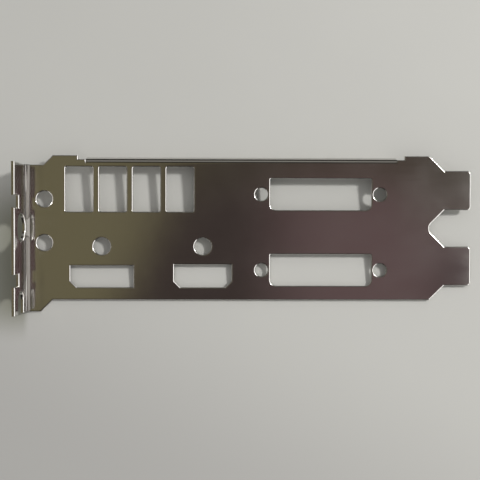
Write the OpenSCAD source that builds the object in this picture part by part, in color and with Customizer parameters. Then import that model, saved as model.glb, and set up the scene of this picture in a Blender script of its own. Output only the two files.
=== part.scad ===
// Double-width expansion card bracket, made from one sheet of steel.
// The blank is punched flat and folded twice: the tab at one end stands out from
// the outer face and is screwed to the chassis ledge, and a long narrow flange is
// folded back under one long edge. The two tongues at the far end drop into the
// chassis. Lengths are measured from the tab's outer face, and widths from the
// long edge that has no flange.

/* [Sheet] */
// Thickness of the steel sheet
sheet_t = 0.86; // [0.7:0.02:1.2]
// Corner radius of the square punched windows
punch_r = 0.3; // [0.1:0.05:0.6]

/* [Card slots] */
// Distance between the centre lines of neighbouring card slots
slot_pitch = 20.32; // [18.8:0.02:22]
// Width of plate that covers one slot
slot_cover_w = 18.42; // [17.8:0.02:19.2]

/* [Plate] */
// Length from the tab's outer face to the tips of the tongues
overall_len = 120.02; // [116:0.02:126]
// Distance from the tab's outer face to the full-width part of the plate
shoulder_x = 7.9; // [7.2:0.1:9]
// How far the neck is set in from the flanged long edge
neck_inset = 2.54; // [1.5:0.02:3.2]
// How far the neck stands out past the plain long edge
neck_outset = 3.18; // [2:0.02:4]

/* [Tongues] */
// Length of each tongue
tongue_len = 7.1; // [5.5:0.1:9]
// Width of each tongue
tongue_w = 10.6; // [9.4:0.1:12]
// Corner radius at the tongue tips
tongue_corner_r = 0.95; // [0.4:0.05:2]
// Length of the slanted corners between the plate and the tongues
taper_len = 4; // [3:0.1:5]
// Radius at the bottom of the notch between the tongues
crotch_r = 1.9; // [0.8:0.1:2.6]

/* [Tab] */
// Height of the tab, from the plate's back face to the tab's free edge
tab_reach = 11.43; // [11:0.01:14]
// Inside radius of the tab's bend
tab_bend_r = 2.2; // [0.5:0.1:2.5]
// Distance from a card slot's centre line to its chassis screw
screw_offset = 9.1; // [8.6:0.1:9.6]
// Height of the chassis screws above the plate's outer face
screw_height = 4.85; // [4.4:0.05:5.6]
// Width of the screw slot that opens at the tab's side
open_slot_w = 5; // [3.6:0.1:5.6]
// Width of the closed screw slot, up the tab
closed_slot_w = 6.4; // [4.4:0.1:6.6]
// Length of the closed screw slot's straight middle, along the tab
closed_slot_straight = 1; // [0.2:0.1:2.6]
// How far the closed slot's middle lies beyond its screw
closed_slot_shift = 1.03; // [0:0.01:1.5]
// How far the closed slot's middle lies below its screw
closed_slot_drop = 0.4; // [0:0.05:0.6]
// Width of the notches in the tab's free edge
edge_notch_w = 3.18; // [2:0.02:4]
// Depth of the notches in the tab's free edge
edge_notch_depth = 4; // [1:0.1:4.4]
// Distance from a card slot's centre line to its edge notch
edge_notch_offset = 3.48; // [2.8:0.02:4]

/* [Flange] */
// Height of the folded edge, from the plate's outer face to the free edge
flange_h = 4.8; // [3.6:0.1:8]
// Distance from the tab's outer face to the start of the flange
flange_x = 16.7; // [13:0.1:20]
// Length of the flange
flange_len = 83.4; // [60:0.1:86]
// Inside radius of the flange's bend
flange_bend_r = 1; // [0.4:0.1:1.4]
// How far the flange's outer face lies inside the plate's long edge
flange_inset = 0.45; // [0.2:0.05:0.8]
// Width of the relief notch at each end of the flange
relief_w = 2; // [1:0.1:3]
// Depth of the relief notches, from the plate's long edge
relief_depth = 1.05; // [0.9:0.05:1.8]

/* [Vents] */
// Number of vent windows
vent_count = 4; // [1:1:4]
// Distance from the tab's outer face to the first vent
vent_x = 11.3; // [9:0.05:13]
// Width of each vent
vent_w = 7.25; // [5:0.05:8.2]
// Height of each vent
vent_h = 11.9; // [8:0.1:12.6]
// Distance from one vent to the next
vent_pitch = 9; // [8.4:0.1:12]
// How far the vents lie above the upper card slot's centre line
vent_rise = 0.12; // [-1:0.01:0.3]
// Corner radius of the vents
vent_corner_r = 0.4; // [0.2:0.1:2]

/* [Wide socket windows] */
// Distance from the tab's outer face to the middle of the wide windows
wide_x = 79.64; // [76:0.02:82]
// Width of the wide windows
wide_w = 27.1; // [24:0.1:27.6]
// Height of the wide windows
wide_h = 8.4; // [7:0.1:9.4]
// How far the wide windows lie below their card slot's centre line
wide_drop = 1.13; // [0:0.01:2]
// Radius of the two rounded corners of the wide windows
wide_corner_r = 1.6; // [0.8:0.1:3]
// Metal left between a wide window and the jack screw hole on each side of it
jack_bridge = 0.68; // [0.5:0.02:1.5]
// Diameter of the jack screw holes
jack_hole_d = 3.4; // [3:0.05:3.9]

/* [Small socket windows] */
// Distance from the lower card slot's centre line down to the small windows' lower edges
small_drop = 5.79; // [5:0.01:6.2]
// Corner cut of the small windows
small_corner_cut = 1.65; // [0.8:0.05:2.4]
// Distance from the tab's outer face to the middle of the window beside the tab
keyed_x = 21; // [19:0.05:23]
// Width of the window beside the tab
keyed_w = 16.75; // [14:0.05:19]
// Height of the window beside the tab
keyed_h = 5.7; // [4.6:0.05:7]
// Distance from the tab's outer face to the middle of the other small window
tapered_x = 48; // [45:0.05:50]
// Width of the other small window
tapered_w = 15.3; // [13:0.1:18]
// Height of the other small window
tapered_h = 6.05; // [4.6:0.05:7]

/* [Round holes] */
// Diameter of the fixing hole over each small window
fixing_hole_d = 4.5; // [3:0.1:5]
// Height of the fixing holes above the lower card slot's centre line
fixing_hole_rise = 5.19; // [4.6:0.01:6]
// Diameter of the two holes in the neck
neck_hole_d = 4.1; // [3:0.05:4.4]
// Distance from the tab's outer face to the neck holes
neck_hole_x = 5.7; // [5.4:0.1:6.2]
// Distance between the neck holes
neck_hole_spacing = 11.7; // [8:0.1:16]
// How far the middle of the neck holes lies above the middle of the plate
neck_hole_rise = 1.78; // [-2:0.01:4]

/* [Hidden] */
$fn = 48;
over = 1; // how far a cut runs past the sheet

// Widths: the two card slots' centre lines, the plate and the neck
lower_slot_y = slot_cover_w / 2;
upper_slot_y = lower_slot_y + slot_pitch;
slot_lines = [lower_slot_y, upper_slot_y];
plate_w = slot_cover_w + slot_pitch;
neck_low_y = -neck_outset;
neck_high_y = plate_w - neck_inset;
neck_w = neck_high_y - neck_low_y;

// Lengths: the end of the tab's bend, the tongue roots and the slanted corners
tab_bend_out = tab_bend_r + sheet_t;
tongue_root_x = overall_len - tongue_len;
taper_x = tongue_root_x - taper_len;
tongue_margin = (slot_cover_w - tongue_w) / 2;
tongue_gap = slot_pitch - tongue_w;

// Heights: the flange's free edge lies at the base of the part
outer_z = flange_h;
back_z = outer_z - sheet_t;
tab_top_z = back_z + tab_reach;
tab_flat_z = outer_z + tab_bend_r;
screw_z = outer_z + screw_height;

// The flange's fold
flange_bend_out = flange_bend_r + sheet_t;
flange_face_y = plate_w - flange_inset;
flange_fold_y = flange_face_y - flange_bend_out;
flange_flat_z = back_z - flange_bend_r;

// Rectangle about the origin with all four corners rounded
module rounded_window(w, h, r) {
    square([w, h - 2 * r], center = true);
    square([w - 2 * r, h], center = true);
    for (sx = [-1, 1], sy = [-1, 1])
        translate([sx * (w / 2 - r), sy * (h / 2 - r)]) circle(r);
}

// Wide socket window about the origin: small radii above, large radii below
module wide_window() {
    top_r = punch_r;
    low_r = wide_corner_r;
    translate([-wide_w / 2, low_r - wide_h / 2])
        square([wide_w, wide_h - low_r - top_r]);
    translate([top_r - wide_w / 2, wide_h / 2 - top_r])
        square([wide_w - 2 * top_r, top_r]);
    translate([low_r - wide_w / 2, -wide_h / 2])
        square([wide_w - 2 * low_r, low_r]);
    for (side = [-1, 1]) {
        translate([side * (wide_w / 2 - top_r), wide_h / 2 - top_r]) circle(top_r);
        translate([side * (wide_w / 2 - low_r), low_r - wide_h / 2]) circle(low_r);
    }
}

// Small socket window standing on the origin, with one or both lower corners cut
module small_window(w, h, cut_right) {
    cut = small_corner_cut;
    right_cut = cut_right ? cut : 0;
    polygon([
        [-w / 2, h], [-w / 2, cut], [cut - w / 2, 0],
        [w / 2 - right_cut, 0], [w / 2, right_cut], [w / 2, h],
    ]);
}

// One tongue, running on into the plate so that the two join
module tongue() {
    r = tongue_corner_r;
    translate([tongue_root_x - over, -tongue_w / 2])
        square([tongue_len - r + over, tongue_w]);
    translate([overall_len - r, r - tongue_w / 2])
        square([r, tongue_w - 2 * r]);
    for (side = [-1, 1])
        translate([overall_len - r, side * (tongue_w / 2 - r)]) circle(r);
}

// The notch between the tongues: square-cornered sides that narrow to a round bottom
module tongue_notch() {
    half = tongue_gap / 2;
    reach = crotch_r * sqrt(2);
    touch = crotch_r / sqrt(2);
    sharp_x = tongue_root_x - half;
    polygon([
        [sharp_x + touch, -touch], [tongue_root_x, -half], [overall_len + over, -half],
        [overall_len + over, half], [tongue_root_x, half], [sharp_x + touch, touch],
    ]);
    translate([sharp_x + reach, 0]) circle(crotch_r);
}

// Flat outline of the plate and neck, between the two folds
module plate_outline() {
    difference() {
        union() {
            polygon([
                [tab_bend_out, neck_low_y], [shoulder_x - neck_outset, neck_low_y],
                [shoulder_x, 0], [taper_x, 0],
                [tongue_root_x, tongue_margin], [tongue_root_x, plate_w - tongue_margin],
                [taper_x, plate_w], [shoulder_x, plate_w],
                [shoulder_x - neck_inset, neck_high_y], [tab_bend_out, neck_high_y],
            ]);
            for (y = slot_lines) translate([0, y]) tongue();
        }
        translate([0, (lower_slot_y + upper_slot_y) / 2]) tongue_notch();
        translate([flange_x - relief_w, plate_w - relief_depth])
            square([flange_len + 2 * relief_w, relief_depth + over]);
        translate([flange_x, flange_fold_y])
            square([flange_len, plate_w - flange_fold_y + over]);
    }
}

// Four upright vents over the upper card slot, nearest the tab
module vents() {
    for (i = [0:vent_count - 1])
        translate([vent_x + vent_w / 2 + i * vent_pitch, upper_slot_y + vent_rise])
            rounded_window(vent_w, vent_h, vent_corner_r);
}

// A wide window and its two jack screw holes for each card slot
module wide_windows() {
    jack_offset = wide_w / 2 + jack_bridge + jack_hole_d / 2;
    for (y = slot_lines)
        translate([wide_x, y - wide_drop]) {
            wide_window();
            for (side = [-1, 1])
                translate([side * jack_offset, 0]) circle(d = jack_hole_d);
        }
}

// Two small windows and the fixing hole centred over each
module small_windows() {
    translate([keyed_x, lower_slot_y - small_drop]) small_window(keyed_w, keyed_h, false);
    translate([tapered_x, lower_slot_y - small_drop]) small_window(tapered_w, tapered_h, true);
    for (x = [keyed_x, tapered_x])
        translate([x, lower_slot_y + fixing_hole_rise]) circle(d = fixing_hole_d);
}

// Two holes in the neck, beside the tab
module neck_holes() {
    for (side = [-1, 1])
        translate([neck_hole_x, plate_w / 2 + neck_hole_rise + side * neck_hole_spacing / 2])
            circle(d = neck_hole_d);
}

// The flat plate with all its windows and holes
module plate() {
    translate([0, 0, back_z]) linear_extrude(sheet_t) difference() {
        plate_outline();
        vents();
        wide_windows();
        small_windows();
        neck_holes();
    }
}

// Quarter ring of sheet about the origin, in the quadrant where x and y are positive
module fold_section(inner_r) {
    intersection() {
        difference() {
            circle(inner_r + sheet_t);
            circle(inner_r);
        }
        square(inner_r + sheet_t);
    }
}

// Outline of the tab's flat part, with width along x and height along y
module tab_outline() {
    difference() {
        translate([neck_low_y, tab_flat_z]) square([neck_w, tab_top_z - tab_flat_z]);
        for (y = slot_lines)
            translate([y - edge_notch_offset - edge_notch_w / 2, tab_top_z - edge_notch_depth])
                square([edge_notch_w, edge_notch_depth + over]);
    }
}

// Outline of the open and the closed screw slot, laid out as the tab's outline
module screw_slots() {
    open_y = lower_slot_y - screw_offset;
    closed_y = upper_slot_y - screw_offset - closed_slot_shift;
    translate([open_y, screw_z]) circle(d = open_slot_w);
    translate([neck_low_y - over, screw_z - open_slot_w / 2])
        square([open_y - neck_low_y + over, open_slot_w]);
    translate([closed_y, screw_z - closed_slot_drop]) {
        square([closed_slot_straight, closed_slot_w], center = true);
        for (side = [-1, 1])
            translate([side * closed_slot_straight / 2, 0]) circle(d = closed_slot_w);
    }
}

// The tab and its fold, with the screw slots cut through both
module tab() {
    difference() {
        union() {
            translate([tab_bend_out, neck_high_y, tab_flat_z]) rotate([90, 180, 0])
                linear_extrude(neck_w) fold_section(tab_bend_r);
            rotate([90, 0, 90]) linear_extrude(sheet_t) tab_outline();
        }
        translate([-over, 0, 0]) rotate([90, 0, 90])
            linear_extrude(tab_bend_out + over) screw_slots();
    }
}

// The flange and its fold
module flange() {
    translate([flange_x, 0, 0]) rotate([90, 0, 90]) linear_extrude(flange_len) {
        translate([flange_face_y - flange_bend_out, flange_flat_z]) fold_section(flange_bend_r);
        translate([flange_face_y - sheet_t, 0]) square([sheet_t, flange_flat_z]);
    }
}

// The whole folded sheet, centred over its base
module bracket() {
    color("silver")
        translate([-overall_len / 2, -(plate_w - neck_outset) / 2, 0]) {
            plate();
            tab();
            flange();
        }
}

bracket();
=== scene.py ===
import math

import bmesh
import bpy
from mathutils import Euler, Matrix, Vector


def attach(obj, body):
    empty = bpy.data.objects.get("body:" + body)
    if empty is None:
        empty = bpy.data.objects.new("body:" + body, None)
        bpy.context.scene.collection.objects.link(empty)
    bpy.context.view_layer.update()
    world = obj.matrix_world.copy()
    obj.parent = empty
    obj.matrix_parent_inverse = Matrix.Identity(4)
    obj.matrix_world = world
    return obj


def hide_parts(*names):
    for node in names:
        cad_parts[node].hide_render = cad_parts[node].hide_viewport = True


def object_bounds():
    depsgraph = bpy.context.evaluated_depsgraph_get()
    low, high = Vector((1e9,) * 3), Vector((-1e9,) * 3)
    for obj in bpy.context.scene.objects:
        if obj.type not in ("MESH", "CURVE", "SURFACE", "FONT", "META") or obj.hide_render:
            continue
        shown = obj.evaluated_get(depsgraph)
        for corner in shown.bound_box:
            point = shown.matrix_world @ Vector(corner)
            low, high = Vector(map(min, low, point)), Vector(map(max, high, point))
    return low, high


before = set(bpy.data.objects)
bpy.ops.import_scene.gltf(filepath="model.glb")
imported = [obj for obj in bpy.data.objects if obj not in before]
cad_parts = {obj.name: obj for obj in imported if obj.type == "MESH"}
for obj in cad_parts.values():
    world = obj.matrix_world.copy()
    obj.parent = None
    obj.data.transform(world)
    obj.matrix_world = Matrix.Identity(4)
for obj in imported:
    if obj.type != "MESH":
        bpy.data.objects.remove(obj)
cad_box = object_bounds()

# ---- Bracket ----
# The whole part is one sheet of cold-rolled steel, punched flat and folded twice, at the screw
# tab and at the long flange. Tumbling after the press takes the sharpness off every punched
# edge, and a bright nickel plating is laid over it.
ROLLOVER = 0.00036  # edge radius on the outer face, where the punch went in
DEBURRED = 0.00007  # edge radius on the back, where the burr was tumbled off
ROUND_STEPS = 4
SHARP_ANGLE = math.radians(40)  # edges that turn more than this were cut, not folded
WELD = 1e-7
PLATE_Z = 0.0048  # height of the outer face
FOLD_START = -0.05914  # the tab's inner face
COIN_START = -0.0589  # where the blade has coined a strip along the inside of the fold
COIN_END = -0.0580
FOLD_END = -0.0569
COINED_NORMAL = Vector((-0.17, 0, 0.985)).normalized()

bracket_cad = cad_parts["bracket"]


class Wire:
    """One output of a shader node, so that shading can be written as an expression."""

    def __init__(self, nodes, socket):
        self.nodes = nodes
        self.socket = socket

    def node(self, kind, settings=None, output=0, **inputs):
        """Adds a node, makes its settings, joins or sets its inputs, and returns its output."""
        made = self.nodes.new("ShaderNode" + kind)
        for name, value in (settings or {}).items():
            setattr(made, name, value)
        for name, value in inputs.items():
            key = int(name[1:]) if name[0] == "i" and name[1:].isdigit() else name.replace("_", " ")
            plug(made.inputs[key], value)
        return Wire(self.nodes, made.outputs[output])

    def math(self, operation, *values, clamp=False):
        settings = {"operation": operation, "use_clamp": clamp}
        return self.node("Math", settings, **{f"i{i}": v for i, v in enumerate(values)})

    def vector(self, operation, other):
        return self.node("VectorMath", {"operation": operation}, i0=self, i1=other)

    def __add__(self, other):
        return self.math("ADD", self, other)

    def __sub__(self, other):
        return self.math("SUBTRACT", self, other)

    def __mul__(self, other):
        return self.math("MULTIPLY", self, other)

    def __truediv__(self, other):
        return self.math("DIVIDE", self, other)

    def __radd__(self, other):
        return self.math("ADD", other, self)

    def __rsub__(self, other):
        return self.math("SUBTRACT", other, self)

    def __rmul__(self, other):
        return self.math("MULTIPLY", other, self)

    def __rtruediv__(self, other):
        return self.math("DIVIDE", other, self)

    def step(self, start, end):
        """0 at start, 1 at end, and smooth between them."""
        settings = {"interpolation_type": "SMOOTHSTEP", "clamp": True}
        return self.node("MapRange", settings, Value=self, From_Min=start, From_Max=end)

    def mix(self, first, second):
        """The first colour where this is 0, and the second where it is 1."""
        return self.node("Mix", {"data_type": "RGBA"}, output=2, i0=self, i6=first, i7=second)


def plug(socket, value):
    """Joins a wire to a socket, or sets the socket to a number, colour or vector."""
    if isinstance(value, Wire):
        value.nodes.id_data.links.new(value.socket, socket)
    elif socket.type == "RGBA" and len(value) == 3:
        socket.default_value = (*value, 1)
    else:
        socket.default_value = value


def new_material(name):
    """An empty material, with its nodes and the object's own coordinates as a wire."""
    material = bpy.data.materials.new(name)
    material.use_nodes = True
    nodes = material.node_tree.nodes
    nodes.clear()
    place = Wire(nodes, nodes.new("ShaderNodeTexCoord").outputs["Object"])
    output = nodes.new("ShaderNodeOutputMaterial")
    return material, place, output


def bright_nickel():
    """Bright nickel over rolled steel: a near mirror with faint rolling lines and light wear."""
    material, place, output = new_material("bright_nickel")
    grain_place = place.vector("MULTIPLY", (160, 5200, 2600))
    grain = place.node("TexNoise", Vector=grain_place, Scale=1, Detail=3, Roughness=0.6)
    haze = place.node("TexNoise", Vector=place, Scale=70, Detail=4, Roughness=0.55)
    peel = place.node("TexNoise", Vector=place, Scale=420, Detail=1)
    tone = (haze - 0.5) * 0.5 + (grain - 0.5) * 0.25 + 0.5
    colour = tone.math("MAXIMUM", tone, 0, clamp=True).mix((0.60, 0.585, 0.56), (0.68, 0.665, 0.64))
    roughness = 0.1 + haze.step(0.35, 0.7) * 0.04 + grain.step(0.3, 0.7) * 0.02
    relief = grain * 0.3 + peel * 0.7
    fine = relief.node("Bump", Height=relief, Strength=0.035, Distance=0.0002)
    x = place.node("SeparateXYZ", Vector=place)
    wave = place.node("TexNoise", Vector=place, Scale=150, Detail=1) - 0.5
    near_tab = 1 - (x - wave * 0.002).step(-0.0572, -0.0536)
    near_tab = near_tab * x.math("GREATER_THAN", x, FOLD_END)
    bump = relief.node("Bump", Height=near_tab, Strength=1, Distance=0.00012, Normal=fine)
    nickel = relief.node(
        "BsdfPrincipled", Metallic=1, Base_Color=colour, Roughness=roughness, Normal=bump
    )
    plug(output.inputs["Surface"], nickel)
    return material


def skin_from(start):
    """The faces that are reached from start without crossing a cut edge."""
    skin, waiting = {start}, [start]
    while waiting:
        for edge in waiting.pop().edges:
            if edge.calc_face_angle(math.pi) < SHARP_ANGLE:
                fresh = set(edge.link_faces) - skin
                skin |= fresh
                waiting += fresh
    return skin


def is_flat(face):
    """True for the plate, tab and flange, which lie square to the axes, and not for a fold."""
    return max(abs(part) for part in face.normal) > 0.99999


def skin_normal(vert, skin):
    """The sheet's normal at a corner. A flat stays flat right up to its fold.

    Inside the tab's fold the normals are given and don't follow the geometry: they shade
    its soft bend as a tight corner with a coined strip beside it.
    """
    if FOLD_START < vert.co.x < FOLD_END and vert.co.z > cad_box[0][2] + PLATE_Z + 1e-6:
        if vert.co.x < COIN_START:
            return Vector((1, 0, 0))
        return COINED_NORMAL if vert.co.x < COIN_END else Vector((0, 0, 1))
    faces = [loop for loop in vert.link_loops if loop.face in skin]
    flats = [loop.face.normal for loop in faces if is_flat(loop.face)]
    if flats:
        return flats[0].copy()
    return sum((loop.face.normal * loop.calc_angle() for loop in faces), Vector()).normalized()


def wall_normal(vert, wall, skin):
    """The cut wall's normal at a corner, smooth round a hole and broken at a sharp corner."""
    alike = [
        loop.face.normal * loop.calc_angle()
        for loop in vert.link_loops
        if loop.face not in skin and loop.face.normal.angle(wall.normal) < SHARP_ANGLE
    ]
    return sum(alike, Vector()).normalized()


def rim_outwards(vert, skin):
    """From a corner of the skin's rim, the way out past both of its cut walls."""
    walls = []
    for edge in vert.link_edges:
        if any(face in skin for face in edge.link_faces):
            walls += [face.normal for face in edge.link_faces if face not in skin]
    return (walls[0] + walls[1]) / (1 + walls[0].dot(walls[1]))


def can_be_rounded(vert, skin):
    """True for a corner of the skin's rim, except in the tight inner corners of the reliefs."""
    on_rim = any(face not in skin for face in vert.link_faces)
    inner = any(
        edge.calc_face_angle_signed(0) < -SHARP_ANGLE and any(face in skin for face in edge.link_faces)
        for edge in vert.link_edges
    )
    return on_rim and not inner


def deburred_sheet(source):
    """The folded sheet as one closed mesh, with a quarter round along every cut edge."""
    cut = bmesh.new()
    cut.from_mesh(source.data)
    bmesh.ops.remove_doubles(cut, verts=cut.verts, dist=WELD)
    skin_of, radius_of, normal_of, outwards_of = {}, {}, {}, {}
    for side, radius in ((1, ROLLOVER), (-1, DEBURRED)):
        level = [face for face in cut.faces if face.normal.z * side > 0.999]
        skin = skin_from(max(level, key=lambda face: face.calc_area()))
        for face in skin:
            skin_of[face] = skin
        for vert in {vert for face in skin for vert in face.verts}:
            normal_of[vert] = skin_normal(vert, skin)
            if can_be_rounded(vert, skin):
                radius_of[vert] = radius
                outwards_of[vert] = rim_outwards(vert, skin)

    rounded = bmesh.new()
    made = {}
    shading = []

    def corner(vert, step):
        """The vertex that many steps round the edge from the skin, at 0, to the wall."""
        key = (vert, step if vert in radius_of else 0)
        if key not in made:
            place = vert.co.copy()
            if vert in radius_of:
                turn = math.pi / 2 * step / ROUND_STEPS
                place -= outwards_of[vert] * radius_of[vert] * (1 - math.sin(turn))
                place -= normal_of[vert] * radius_of[vert] * (1 - math.cos(turn))
            made[key] = rounded.verts.new(place)
        return made[key]

    def add_face(corners, finish):
        """Makes a face of (vertex, normal) pairs, which may share a vertex."""
        corners = list(dict(corners).items())
        if len(corners) > 2:
            rounded.faces.new([vert for vert, _ in corners]).material_index = finish
            shading.extend(normal for _, normal in corners)

    for face in cut.faces:
        if face in skin_of:
            add_face([(corner(vert, 0), normal_of[vert]) for vert in face.verts], 0)
        else:
            add_face(
                [(corner(v, ROUND_STEPS), wall_normal(v, face, skin_of)) for v in face.verts], 1
            )
    for loop in (loop for face in skin_of for loop in face.loops):
        wall = loop.link_loop_radial_next.face
        if wall in skin_of:
            continue
        ends = [loop.vert, loop.link_loop_next.vert]
        sides = [wall_normal(vert, wall, skin_of) for vert in ends]
        for step in range(ROUND_STEPS):
            ring = []
            for end, at in ((1, step), (0, step), (0, step + 1), (1, step + 1)):
                turn = math.pi / 2 * at / ROUND_STEPS
                normal = normal_of[ends[end]] * math.cos(turn) + sides[end] * math.sin(turn)
                ring.append((corner(ends[end], at), normal))
            add_face(ring, 0)
    for face in rounded.faces:
        face.smooth = True
    mesh = bpy.data.meshes.new("nickel_plated_bracket")
    rounded.to_mesh(mesh)
    cut.free()
    rounded.free()
    mesh.normals_split_custom_set(shading)
    sheet = bpy.data.objects.new("nickel_plated_bracket", mesh)
    bpy.context.scene.collection.objects.link(sheet)
    return sheet


bracket = deburred_sheet(bracket_cad)
bracket.data.materials.clear()
bracket.data.materials.append(bright_nickel())
bracket.data.materials.append(bright_nickel())
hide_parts("bracket")
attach(bracket, "root")

# ---- Table ----
# A matt pale table top. The bracket lies on it on the free edge of its flange and on one
# corner of its neck, so the plate leans a few degrees, and the table is turned to suit.
FLANGE_REST = (0.01965, 0.0)  # y and z of the flange edge that touches the table
NECK_REST = (-0.02096, 0.00394)  # y and z of the neck's back edge that touches it
TABLE_HALF = 2.5
TABLE_COLOUR = (0.60, 0.592, 0.555)

# painted shade: the colour the table is darkened to towards one corner
PAINTED_CORNER_SHADE = (0.50, 0.49, 0.465)
# painted shadow: the olive colour of the tab's shadow on the table
OLIVE_SHADE = (0.20, 0.20, 0.14)

table_slope = (NECK_REST[1] - FLANGE_REST[1]) / (NECK_REST[0] - FLANGE_REST[0])


def table_height(y):
    """Height of the table top at a place across the bracket."""
    return FLANGE_REST[1] + (y - FLANGE_REST[0]) * table_slope


def table_finish():
    """Matt paint, with painted shade at one corner and a painted olive shadow of the tab beside it.
    From below it isn't seen.
    """
    material, place, output = new_material("matt_table")
    mottle = place.node("TexNoise", Vector=place, Scale=9, Detail=5, Roughness=0.6)
    dark = tuple(0.97 * part for part in TABLE_COLOUR)
    colour = mottle.step(0.3, 0.7).mix(dark, TABLE_COLOUR)
    x = place.node("SeparateXYZ", Vector=place)
    y = place.node("SeparateXYZ", output=1, Vector=place)
    # painted shade, darkening the table towards its lower left corner
    colour = (y + x * 0.45).step(-0.08, -0.01).mix(PAINTED_CORNER_SHADE, colour)
    # painted shadow of the tab, an olive patch on the table beside it
    painted_tab_shadow = (0 - x).step(0.0585, 0.0605) * (1 - (0 - x).step(0.062, 0.080))
    painted_tab_shadow = painted_tab_shadow * y.step(-0.030, -0.018) * (1 - y.step(0.002, 0.016))
    colour = (painted_tab_shadow * 0.75).mix(colour, OLIVE_SHADE)
    paint = colour.node("BsdfDiffuse", Color=colour)
    clear = colour.node("BsdfTransparent")
    under = colour.node("NewGeometry", output=6)
    plug(output.inputs["Surface"], under.node("MixShader", i0=under, i1=paint, i2=clear))
    return material


table_mesh = bpy.data.meshes.new("table")
corners = [(x * TABLE_HALF, y * TABLE_HALF) for x, y in ((-1, -1), (1, -1), (1, 1), (-1, 1))]
table_mesh.from_pydata([(x, y, table_height(y)) for x, y in corners], [], [(0, 1, 2, 3)])
table = bpy.data.objects.new("table", table_mesh)
table.data.materials.append(table_finish())
bpy.context.scene.collection.objects.link(table)

# ---- Overhead card ----
# A dark card hung over the bracket, as a photographer flags a mirror finish. Only its
# reflection shows: olive over the tab end, near black over the middle and mauve over the rest.
CARD_HEIGHT = 0.5
CARD_LEFT = -0.34
CARD_RIGHT = 0.235
CARD_HALF_Y = 0.24
CAMERA_PLACE = (-0.0043641, 0.0021102, 0.2031779)
OLIVE = (0.185, 0.165, 0.098)
NEAR_BLACK = (0.058, 0.044, 0.041)
MAUVE = (0.146, 0.096, 0.098)
FAR_END = (0.108, 0.086, 0.076)
SHADE = (0.062, 0.052, 0.036)
LOW_END = (0.070, 0.048, 0.050)


def stage_only(piece):
    """Lets a card be seen in the plating alone, and not light or shade anything."""
    piece.visible_camera = False
    piece.visible_diffuse = False
    piece.visible_shadow = False
    bpy.context.scene.collection.objects.link(piece)


def card_finish():
    """Soft painted fields of colour, given where they are seen in the face of the plate."""
    material, place, output = new_material("painted_card")
    plate_z = cad_box[0][2] + 0.0048
    spread = (CARD_HEIGHT - plate_z) / (CAMERA_PLACE[2] - plate_z)
    seen = place.vector("SUBTRACT", (CAMERA_PLACE[0], CAMERA_PLACE[1], 0))
    seen = seen.vector("MULTIPLY", (1 / (1 + spread), 1 / (1 + spread), 0))
    seen = seen.vector("ADD", (CAMERA_PLACE[0], CAMERA_PLACE[1], 0))
    x = seen.node("SeparateXYZ", Vector=seen)
    y = seen.node("SeparateXYZ", output=1, Vector=seen)
    colour = (x - y * 0.45).step(-0.034, -0.018).mix(OLIVE, NEAR_BLACK)
    colour = x.step(-0.004, 0.022).mix(colour, MAUVE)
    colour = (x.step(0.036, 0.052) * y.step(-0.004, 0.008)).mix(colour, FAR_END)
    colour = (x.step(0.044, 0.056) * (1 - y.step(-0.008, 0.002)) * 0.8).mix(colour, LOW_END)
    colour = (y.step(0.008, 0.017) * x.step(-0.052, 0.0) * 0.7).mix(colour, SHADE)
    colour = x.step(-0.072, -0.0615).mix(NEAR_BLACK, colour)
    light = colour.node("Emission", Color=colour, Strength=1.0)
    plug(output.inputs["Surface"], light)
    return material


card_mesh = bpy.data.meshes.new("overhead_card")
corners = [(CARD_LEFT, CARD_HALF_Y), (CARD_RIGHT, CARD_HALF_Y)]
corners += [(CARD_RIGHT, -CARD_HALF_Y), (CARD_LEFT, -CARD_HALF_Y)]
card_mesh.from_pydata([(x, y, CARD_HEIGHT) for x, y in corners], [], [(0, 1, 2, 3)])
card = bpy.data.objects.new("overhead_card", card_mesh)
card.data.materials.append(card_finish())
stage_only(card)

# ---- Room ----
# What the plating mirrors beyond the card: a dark tent round the table, open to a bright window
# on the right, with a dim one behind.
ROOM_RADIUS = 1.6
ROOM_DARK = (0.030, 0.028, 0.024)
WINDOW_PALE = (0.70, 0.68, 0.66)
WINDOW_BRIGHT = (3.2, 3.2, 3.2)
BACK_GLOW = (0.30, 0.29, 0.27)
LEFT_GLOW = (0.58, 0.56, 0.53)


def room_finish():
    """The tent's brightness by direction: x points to the window, z up."""
    material, place, output = new_material("tent_and_window")
    x = place.node("SeparateXYZ", Vector=place) / ROOM_RADIUS
    y = place.node("SeparateXYZ", output=1, Vector=place) / ROOM_RADIUS
    z = place.node("SeparateXYZ", output=2, Vector=place) / ROOM_RADIUS
    to_window = x.step(0.12, 0.32) * (x - y.math("ABSOLUTE", y) * 0.8).step(-0.05, 0.05)
    core = to_window * z.step(0.22, 0.34) * (1 - z.step(0.60, 0.70))
    behind = y.step(0.35, 0.7) * z.step(0.3, 0.5) * (1 - z.step(0.62, 0.8))
    colour = behind.mix(ROOM_DARK, BACK_GLOW)
    left = (0 - x).step(0.46, 0.54) * (1 - (0 - x).step(0.64, 0.72)) * z.step(0.5, 0.7)
    colour = left.mix(colour, LEFT_GLOW)
    colour = to_window.mix(colour, WINDOW_PALE)
    colour = core.mix(colour, WINDOW_BRIGHT)
    plug(output.inputs["Surface"], colour.node("Emission", Color=colour, Strength=1.0))
    return material


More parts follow.
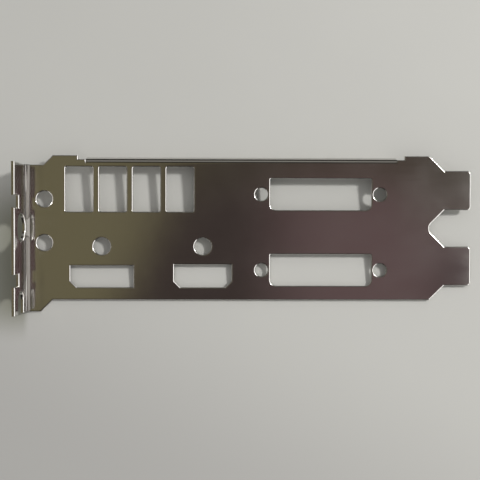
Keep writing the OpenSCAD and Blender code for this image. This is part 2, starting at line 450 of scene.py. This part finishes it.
room_mesh = bpy.data.meshes.new("tent")
room_shape = bmesh.new()
bmesh.ops.create_icosphere(room_shape, subdivisions=4, radius=ROOM_RADIUS)
room_shape.to_mesh(room_mesh)
room_shape.free()
room = bpy.data.objects.new("tent", room_mesh)
room.data.materials.append(room_finish())
stage_only(room)

# ---- Studio light ----
# One round soft lamp from the right of the far side, and an even pale surround that fills its
# shadows. The surround is a little brighter where the camera sees it than as light.
LAMP_TOWARDS = Vector((0.85, 0.42, 1.0)).normalized()
LAMP_DISTANCE = 0.65
LAMP_SIZE = 0.09
LAMP_POWER = 2.3
SURROUND = (0.8, 0.8, 0.8)
FILL = 0.47

lamp_data = bpy.data.lights.new("soft_lamp", "AREA")
lamp_data.shape = "DISK"
lamp_data.size = LAMP_SIZE
lamp_data.energy = LAMP_POWER
lamp = bpy.data.objects.new("soft_lamp", lamp_data)
lamp.location = LAMP_TOWARDS * LAMP_DISTANCE
lamp.rotation_euler = LAMP_TOWARDS.to_track_quat("Z", "Y").to_euler()
bpy.context.scene.collection.objects.link(lamp)

world = bpy.data.worlds.new("pale_surround")
world.use_nodes = True
world.node_tree.nodes.clear()
rays = world.node_tree.nodes.new("ShaderNodeLightPath")
kinds = ("Camera", "Glossy", "Transmission")
seen_by = [Wire(world.node_tree.nodes, rays.outputs[f"Is {kind} Ray"]) for kind in kinds]
shown = seen_by[0].math("MAXIMUM", seen_by[0], seen_by[1])
shown = shown.math("MAXIMUM", shown, seen_by[2])
sky = shown.mix((FILL, FILL, FILL), SURROUND)
light = sky.node("Background", Color=sky, Strength=1)
plug(world.node_tree.nodes.new("ShaderNodeOutputWorld").inputs["Surface"], light)
bpy.context.scene.world = world

# ---- Camera ----
# Held over the middle of the plate and nearly square to it.
CAMERA_TURN = (-0.0189, -0.0117, 0.0019)
LENS = 55.54

camera_data = bpy.data.cameras.new("camera")
camera_data.lens = LENS
camera_data.clip_start = 0.005
camera = bpy.data.objects.new("camera", camera_data)
camera.location = CAMERA_PLACE
camera.rotation_mode = "ZYX"
camera.rotation_euler = Euler(CAMERA_TURN, "ZYX")
bpy.context.scene.collection.objects.link(camera)
bpy.context.scene.camera = camera
bpy.context.scene.view_settings.view_transform = "Standard"
